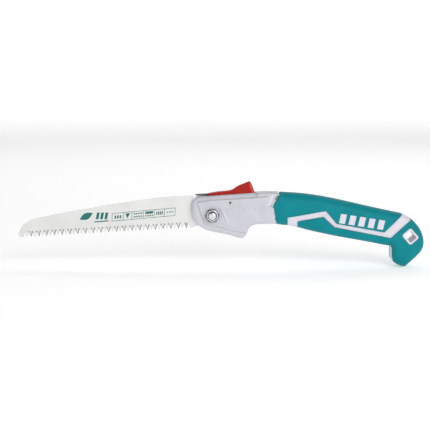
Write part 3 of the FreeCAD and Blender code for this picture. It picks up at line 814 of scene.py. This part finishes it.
def makeSpring():
    # A tube (u along the wire, v round it): the wire's centre goes round a circle while its height climbs
    # evenly, except over the first and last three quarters of a turn, which lie flat.
    low, high = (np.array(corner) * 1000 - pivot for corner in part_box("lever_spring"))
    u = np.linspace(0, 1, 260)
    angle = u * spring["turns"] * 2 * math.pi
    flat = 0.75 / spring["turns"]
    climb = np.clip((u - flat) / (1 - 2 * flat), 0, 1)
    top = high[2] - spring["clear"]
    height = low[2] + spring["wire"] + climb * (top - low[2] - 2 * spring["wire"])
    v = np.arange(12) * 2 * math.pi / 12
    radius = spring["coil"] + spring["wire"] * np.cos(v)
    middleX = (low[0] + high[0]) / 2
    x = middleX + np.cos(angle)[:, None] * radius
    y = np.sin(angle)[:, None] * radius
    z = height[:, None] + spring["wire"] * np.sin(v)
    vertices = (np.stack([x, y, z], axis=-1).reshape(-1, 3) + pivot) / 1000
    index = np.arange(len(vertices)).reshape(len(u), 12)
    after = np.roll(index, -1, axis=1)
    faces = np.stack([index[:-1], after[:-1], after[1:], index[1:]], axis=-1).reshape(-1, 4)[:, ::-1].tolist()
    ends = [index[0].tolist(), index[-1, ::-1].tolist()]
    made = newObject("lever_spring_coil", vertices, faces + ends, zinc, "handle", 60)
    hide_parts("lever_spring")
    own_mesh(made)


print("lever spring")
makeSpring()


blade = {
    "spine": [(-19.4, 19.3), (-43.6, 18.2), (-70.0, 15.2), (-104.8, 9.9), (-143.0, 3.2), (-167.4, -1.4),
              (-185.6, -5.4)],
    "nose": [(-185.6, -5.4), (-194.4, -11.3), (-199.0, -20.2)],
    "half": 0.65, "tang": 17.5, "bore": 6.05, "pitch": 4.0, "depth": 4.4, "gullet": 0.42, "tipHalf": 0.28,
    "bevelTop": 6.3, "bevelWidth": 0.9, "bevelDrop": 1.15,
    "openNotch": [(-4.25, 15.1), (-10.3, 12.7), (-10.3, 15.8), (-18.9, 16.4)],
    "closedNotch": [(-4.25, 17.0), (-4.25, 15.1), (-10.3, 12.7), (-10.3, 14.1)], "tangStart": 222.0,
}


start, end = np.array(toothStart), np.array(toothEnd)
toothCount = round(np.hypot(*(end - start)) / blade["pitch"])
along = (end - start) / np.hypot(*(end - start))
inward = np.array([-along[1], along[0]])
pitch = np.hypot(*(end - start)) / toothCount
gulletHalf = blade["gullet"] / 2
flankRun = pitch / 2 - gulletHalf - blade["tipHalf"]
flank = math.hypot(flankRun, blade["depth"])


def fromTeeth(points):
    # a point's place along the tooth line and its height above it
    return (points - start) @ along, (points - start) @ inward


def onTeeth(where, depth):
    # the point at a place along the tooth line and a height above it
    lift = np.multiply.outer(np.broadcast_to(depth, np.shape(where)), inward)
    return start + np.multiply.outer(where, along) + lift


def bevelled(points, parity):
    # Every second tooth is ground on both flanks from one side. With s the distance in from the flank's
    # line, the skin drops by bevelDrop (1 - s / bevelWidth), and the cut fades out above the gullet.
    where, depth = fromTeeth(points)
    tooth = np.clip(2 * np.round((where / pitch - parity) / 2) + parity, 2 - parity, toothCount - 1)
    sideways = np.abs(where - tooth * pitch) - blade["tipHalf"]
    inward = (depth * flankRun - sideways * blade["depth"]) / flank
    fade = 1 - np.clip((depth - blade["depth"]) / (blade["bevelTop"] - blade["depth"]), 0, 1)
    cut = np.where(inward >= -0.02, 1 - inward / blade["bevelWidth"], 1 + inward / 0.35)
    return blade["bevelDrop"] * fade * np.clip(cut, 0, 1) * (depth < blade["bevelTop"])


def makeBlade():
    # The outline, with bevel lines as creases so that the triangles break along them.
    half, depth, top = blade["half"], blade["depth"], blade["bevelTop"] - 0.01
    inner = np.arange(1, toothCount) * pitch
    halfTooth = pitch / 2 - gulletHalf
    leftOf = onTeeth(inner - halfTooth, depth)
    rightOf = onTeeth(inner + halfTooth, depth)
    high = np.where(np.arange(1, toothCount) % 2, -0.2, 0.1)
    leftTip = onTeeth(inner - blade["tipHalf"], high)
    rightTip = onTeeth(inner + blade["tipHalf"], -0.1 - high)
    first = onTeeth(np.array([halfTooth]), depth)
    last = onTeeth(np.array([toothCount * pitch - halfTooth]), depth)
    edge = np.stack([leftOf, leftTip, rightTip, rightOf], axis=1).reshape(-1, 2)
    # places of the bevel's lines above the gullet, sideways from the tooth's middle
    peakDepth = (blade["bevelWidth"] * flank - blade["tipHalf"] * depth) / flankRun
    endSide = blade["tipHalf"] + top * flankRun / depth
    footSide = endSide - blade["bevelWidth"] * flank / depth
    creases = []
    for way, tip, corner in ((-1, leftTip, leftOf), (1, rightTip, rightOf)):
        peak = onTeeth(inner, peakDepth)
        foot, finish = onTeeth(inner + way * footSide, top), onTeeth(inner + way * endSide, top)
        other = onTeeth(inner + way * (halfTooth + 2 * gulletHalf), depth)
        beyond = onTeeth(inner + way * (endSide + 2 * gulletHalf), top)
        cutLines = np.stack([tip, peak, foot, finish, corner], axis=1)
        for lines in (cutLines, np.stack([finish, beyond, other], axis=1)):
            creases += [(line, False) for line in lines[1:-1]]
    tang, fold = blade["tang"], handle["fold"]
    backAngle = 90 + math.degrees(math.asin(-blade["openNotch"][0][0] / tang))
    turn = np.radians(np.linspace(blade["tangStart"] - 360, backAngle, 60))
    tangArc = tang * np.stack([np.cos(turn), np.sin(turn)], axis=1)
    closedNotch = turned(blade["closedNotch"], -fold)
    bearing = np.degrees(np.arctan2(closedNotch[:, 1], closedNotch[:, 0]))
    if bearing[0] > bearing[-1]:
        closedNotch, bearing = closedNotch[::-1], bearing[::-1]
    outline = np.vstack([
        smooth(blade["spine"], 2.0), smooth(blade["nose"], 1.0)[1:], [(-197.6, -23.0), toothStart],
        first, edge, last, [toothEnd, (-19.6, -13.2)],
        tangArc[np.degrees(turn) < bearing[0] - 1], closedNotch,
        tangArc[np.degrees(turn) > bearing[-1] + 1], blade["openNotch"],
    ])
    points, faces = flatMesh(outline, [circle((0, 0), blade["bore"], 72)], creases, [], 9.0)
    near = half - bevelled(points, 0)
    far = half - bevelled(points, 1)
    faces = facedUp(points, faces)
    offset = len(points)
    walls = rimWalls(faces, offset)
    vertices = np.vstack([put(points, -near), put(points, far)])
    skins = faces.tolist() + (faces[:, ::-1] + offset).tolist() + walls
    made = newObject("blade_skin", vertices, skins, [bladeSteel, groundSteel], "blade", 12)
    middles = points[[wall[0] for wall in walls]]
    ground = np.concatenate([
        np.ptp(near[faces], axis=1) > 0.02, np.ptp(far[faces], axis=1) > 0.02,
        (fromTeeth(middles)[1] < depth + 0.1) & (middles[:, 0] < toothEnd[0]),
    ])
    made.data.polygons.foreach_set("material_index", ground.astype(int))
    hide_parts("blade")


print("blade")
makeBlade()


printed = {"lift": 0.03, "line": 0.48, "tilt": 5.2}


def stroke(a, b, width):
    # a straight bar of a given width from a to b
    a, b = np.array(a, float), np.array(b, float)
    across = np.array([-(b - a)[1], (b - a)[0]]) / np.hypot(*(b - a)) * width / 2
    return [a + across, b + across, b - across, a - across]


def slanted(x0, x1, z0, z1, lean=0.12):
    # a box leaning to the right, in the strip's own turned axes
    return [(x0 + lean * z0, z0), (x1 + lean * z0, z0), (x1 + lean * z1, z1), (x0 + lean * z1, z1)]


def makePrint():
    # plain marks only: a leaf, three bars, a line, and a strip of slanted fields with simple signs
    shapes = []
    leaf = smooth([(-136.0, -5.6), (-131.0, 0.6), (-122.4, 1.4)], 0.8)
    leafBack = smooth([(-122.4, 1.4), (-127.4, -5.0), (-136.0, -5.6)], 0.8)
    shapes.append(np.vstack([leaf[:-1], leafBack[:-1]]))
    for number in range(3):
        x = -119.5 + number * 4.4
        shapes.append(np.array([(x, -5.4), (x + 2.9, -5.1), (x + 4.2, 1.9), (x + 1.3, 1.6)]))
    shapes.append(np.array([(-121.0, -8.6), (-106.6, -7.4), (-106.4, -6.2), (-120.8, -7.4)]))
    bottom, top, lean = 0.0, 7.8, 0.16
    stops = [0.0, 11.5, 20.3, 32.4, 43.5, 53.7, 64.8]

    def corner(x, z):
        return (x + lean * z, z)

    strip = [stroke(corner(x, bottom), corner(x, top), printed["line"]) for x in stops]
    strip += [stroke(corner(stops[0], z), corner(stops[-1], z), printed["line"]) for z in (bottom, top)]
    strip.append([corner(13.6, 6.6), corner(18.6, 6.6), corner(15.6, 1.4)])
    strip.append(slanted(34.0, 42.2, 4.2, 6.7, lean))
    # rows of blocks: from, to, bottom, top, count
    for x0, x1, z0, z1, count in ((2.6, 9.4, 2.2, 5.4, 3), (22.2, 31.2, 4.7, 6.3, 5), (22.2, 31.2, 1.6, 3.2, 5),
                                  (34.0, 42.2, 1.5, 3.1, 5), (45.4, 52.2, 2.2, 5.6, 4), (56.4, 62.8, 3.4, 4.6, 3)):
        wide = (x1 - x0) / (count - 0.35)
        strip += [slanted(x0 + k * wide, x0 + (k + 0.62) * wide, z0, z1, lean) for k in range(count)]
    shapes += [turned(shape, printed["tilt"]) + (-103.0, -7.2) for shape in strip]
    vertices, faces = [], []
    offset = 0
    for shape in shapes:
        shape = np.asarray(shape)
        twice = np.cross(shape, np.roll(shape, -1, axis=0)).sum()
        shape = shape if twice > 0 else shape[::-1]
        count = len(shape)
        face = put(shape, np.full(count, -blade["half"] - printed["lift"]))
        base = put(shape, np.full(count, -blade["half"] + 0.05))
        vertices += [face, base]
        faces.append(list(range(offset, offset + count)))
        faces.append(list(range(offset + 2 * count - 1, offset + count - 1, -1)))
        for here in range(count):
            there = (here + 1) % count
            faces.append([offset + there, offset + here, offset + here + count, offset + there + count])
        offset += 2 * count
    newObject("blade_print", np.vstack(vertices), faces, ink, "blade")


print("print")
makePrint()


gripBars = {
    "start": (128.4, -7.6), "end": (173.2, -14.6), "count": 5, "lean": 0.22, "tall": 9.8, "wide": 6.0, "rise": 0.3,
}
housingBars = {
    "start": (20.6, 2.6), "end": (51.0, 5.6), "count": 6, "lean": 0.25, "tall": 3.0, "wide": 2.6, "rise": 0.22,
}


def makeBars(name, bars, skin, side, material):
    # slanted bars that follow a skin: a grid (u, v) over each bar, lifted off the skin by its rise less
    # an edge round, with a wall down into the skin
    vertices, faces = [], []
    offset = 0
    us, vs = np.meshgrid(np.linspace(0, 1, 9), np.linspace(0, 1, 13))
    edge = np.minimum(np.minimum(us, 1 - us) * bars["wide"], np.minimum(vs, 1 - vs) * bars["tall"])
    rows, columns = us.shape
    index = np.arange(rows * columns).reshape(rows, columns)
    quads = np.stack([index[:-1, :-1], index[:-1, 1:], index[1:, 1:], index[1:, :-1]], axis=-1).reshape(-1, 4)
    rim = np.concatenate([index[0, :], index[1:, -1], index[-1, -2::-1], index[-2:0:-1, 0]])
    count = rows * columns
    walls = np.stack([np.roll(rim, -1), rim, rim + count, np.roll(rim, -1) + count], axis=1)
    block = np.vstack([quads, quads[:, ::-1] + count, walls])
    start, end = np.array(bars["start"]), np.array(bars["end"])
    slope = (end - start)[1] / (end - start)[0]
    for share in np.linspace(0, 1, bars["count"]):
        x = start[0] + share * (end[0] - start[0] - bars["wide"])
        xs = x + us * bars["wide"] + bars["lean"] * vs * bars["tall"]
        points = np.stack([xs.ravel(), (start[1] + slope * (xs - start[0]) + vs * bars["tall"]).ravel()], axis=1)
        height = skin(points)
        lift = bars["rise"] - roundOff(edge.ravel(), 0.25, 0.2)
        vertices += [put(points, side * (height + lift)), put(points, side * (height - 0.8))]
        faces.append((block[:, ::-1] if side > 0 else block) + offset)
        offset += 2 * count
    newObject(name, np.vstack(vertices), np.vstack(faces).tolist(), material, "handle")


print("bars")
for side, where in ((-1, "near"), (1, "far")):
    makeBars(f"{where}_grip_bars", gripBars, gripOver, side, pale)
makeBars("near_housing_bars", housingBars, coreOver, -1, silver)


studio = {
    "floor": "#f4f4f4", "glow": 0.345, "air": 0.25,
    "distance": 1.2, "elevation": 7.5, "aim": (2.65, -0.9), "fov": 20.8,
}


def makeStage():
    # a round floor that curves up into a wall: the profile (radius, height) turned about z
    bend = np.linspace(0.1, math.pi / 2, 14)
    radius = np.concatenate([np.linspace(0.0005, 5, 24), 5 + 2 * np.sin(bend), [7.0]])
    height = np.concatenate([np.zeros(24), 2 - 2 * np.cos(bend), [4.5]])
    angle = np.arange(96) * 2 * math.pi / 96
    across = [np.outer(np.cos(angle), radius), np.outer(np.sin(angle), radius)]
    grid = np.stack([*across, np.tile(height, (96, 1))], axis=-1)
    index = np.arange(96 * len(radius)).reshape(96, -1)
    after = np.roll(index, -1, axis=0)
    quads = np.stack([index[:, :-1], index[:, 1:], after[:, 1:], after[:, :-1]], axis=-1).reshape(-1, 4)
    mesh = bpy.data.meshes.new("studio_floor")
    mesh.from_pydata(grid.reshape(-1, 3).tolist(), [], quads.tolist() + [index[:, 0].tolist()])
    mesh.shade_smooth()
    # matt white paper on a light table, which glows a little through it
    material, tree, shader, place = newMaterial("pale_floor_paper", Roughness=0.9, Specular_IOR_Level=0.2,
                                                Emission_Color=(1, 1, 1, 1), Emission_Strength=studio["glow"])
    tinted(tree, shader, grain(tree, place, 3, 2), studio["floor"], "#f7f7f7")
    mesh.materials.append(material)
    floor = bpy.data.objects.new("studio_floor", mesh)
    bpy.context.scene.collection.objects.link(floor)


def makeLight(name, at, toward, size, power):
    # a rectangular lamp, sizes and places in metres, that faces a point
    lamp = bpy.data.lights.new(name, "AREA")
    lamp.shape = "RECTANGLE"
    lamp.size, lamp.size_y = size
    lamp.energy = power
    made = bpy.data.objects.new(name, lamp)
    bpy.context.scene.collection.objects.link(made)
    made.location = at
    direction = np.array(toward) - np.array(at)
    made.rotation_euler = Vector(direction).to_track_quat("-Z", "Y").to_euler()


print("studio")
makeStage()
world = bpy.data.worlds.new("studio_air")
bpy.context.scene.world = world
world.use_nodes = True
world.node_tree.nodes["Background"].inputs["Color"].default_value = (1, 1, 1, 1)
world.node_tree.nodes["Background"].inputs["Strength"].default_value = studio["air"]
centre = np.array([0.0, 0.0, 0.05])
makeLight("key_softbox", (0.8, -1.4, 0.85), centre, (1.1, 0.8), 12.6)
makeLight("back_softbox", (0.4, 1.2, 1.3), centre, (1.4, 0.5), 5)
makeLight("wall_softbox", (0.0, 2.0, 2.5), (0.0, 6.5, 2.4), (5.0, 2.0), 45)

camera = bpy.data.cameras.new("camera")
camera.sensor_width = 36
camera.lens = 18 / math.tan(toRadians(studio["fov"] / 2))
viewer = bpy.data.objects.new("camera", camera)
bpy.context.scene.collection.objects.link(viewer)
aim = (pivot + np.array([studio["aim"][0], 0, studio["aim"][1]])) / 1000
rise = toRadians(studio["elevation"])
viewer.location = aim + studio["distance"] * np.array([0, -math.cos(rise), math.sin(rise)])
viewer.rotation_euler = (math.pi / 2 - rise, 0, 0)
bpy.context.scene.camera = viewer
bpy.context.scene.view_settings.view_transform = "Standard"

bpy.context.view_layer.update()
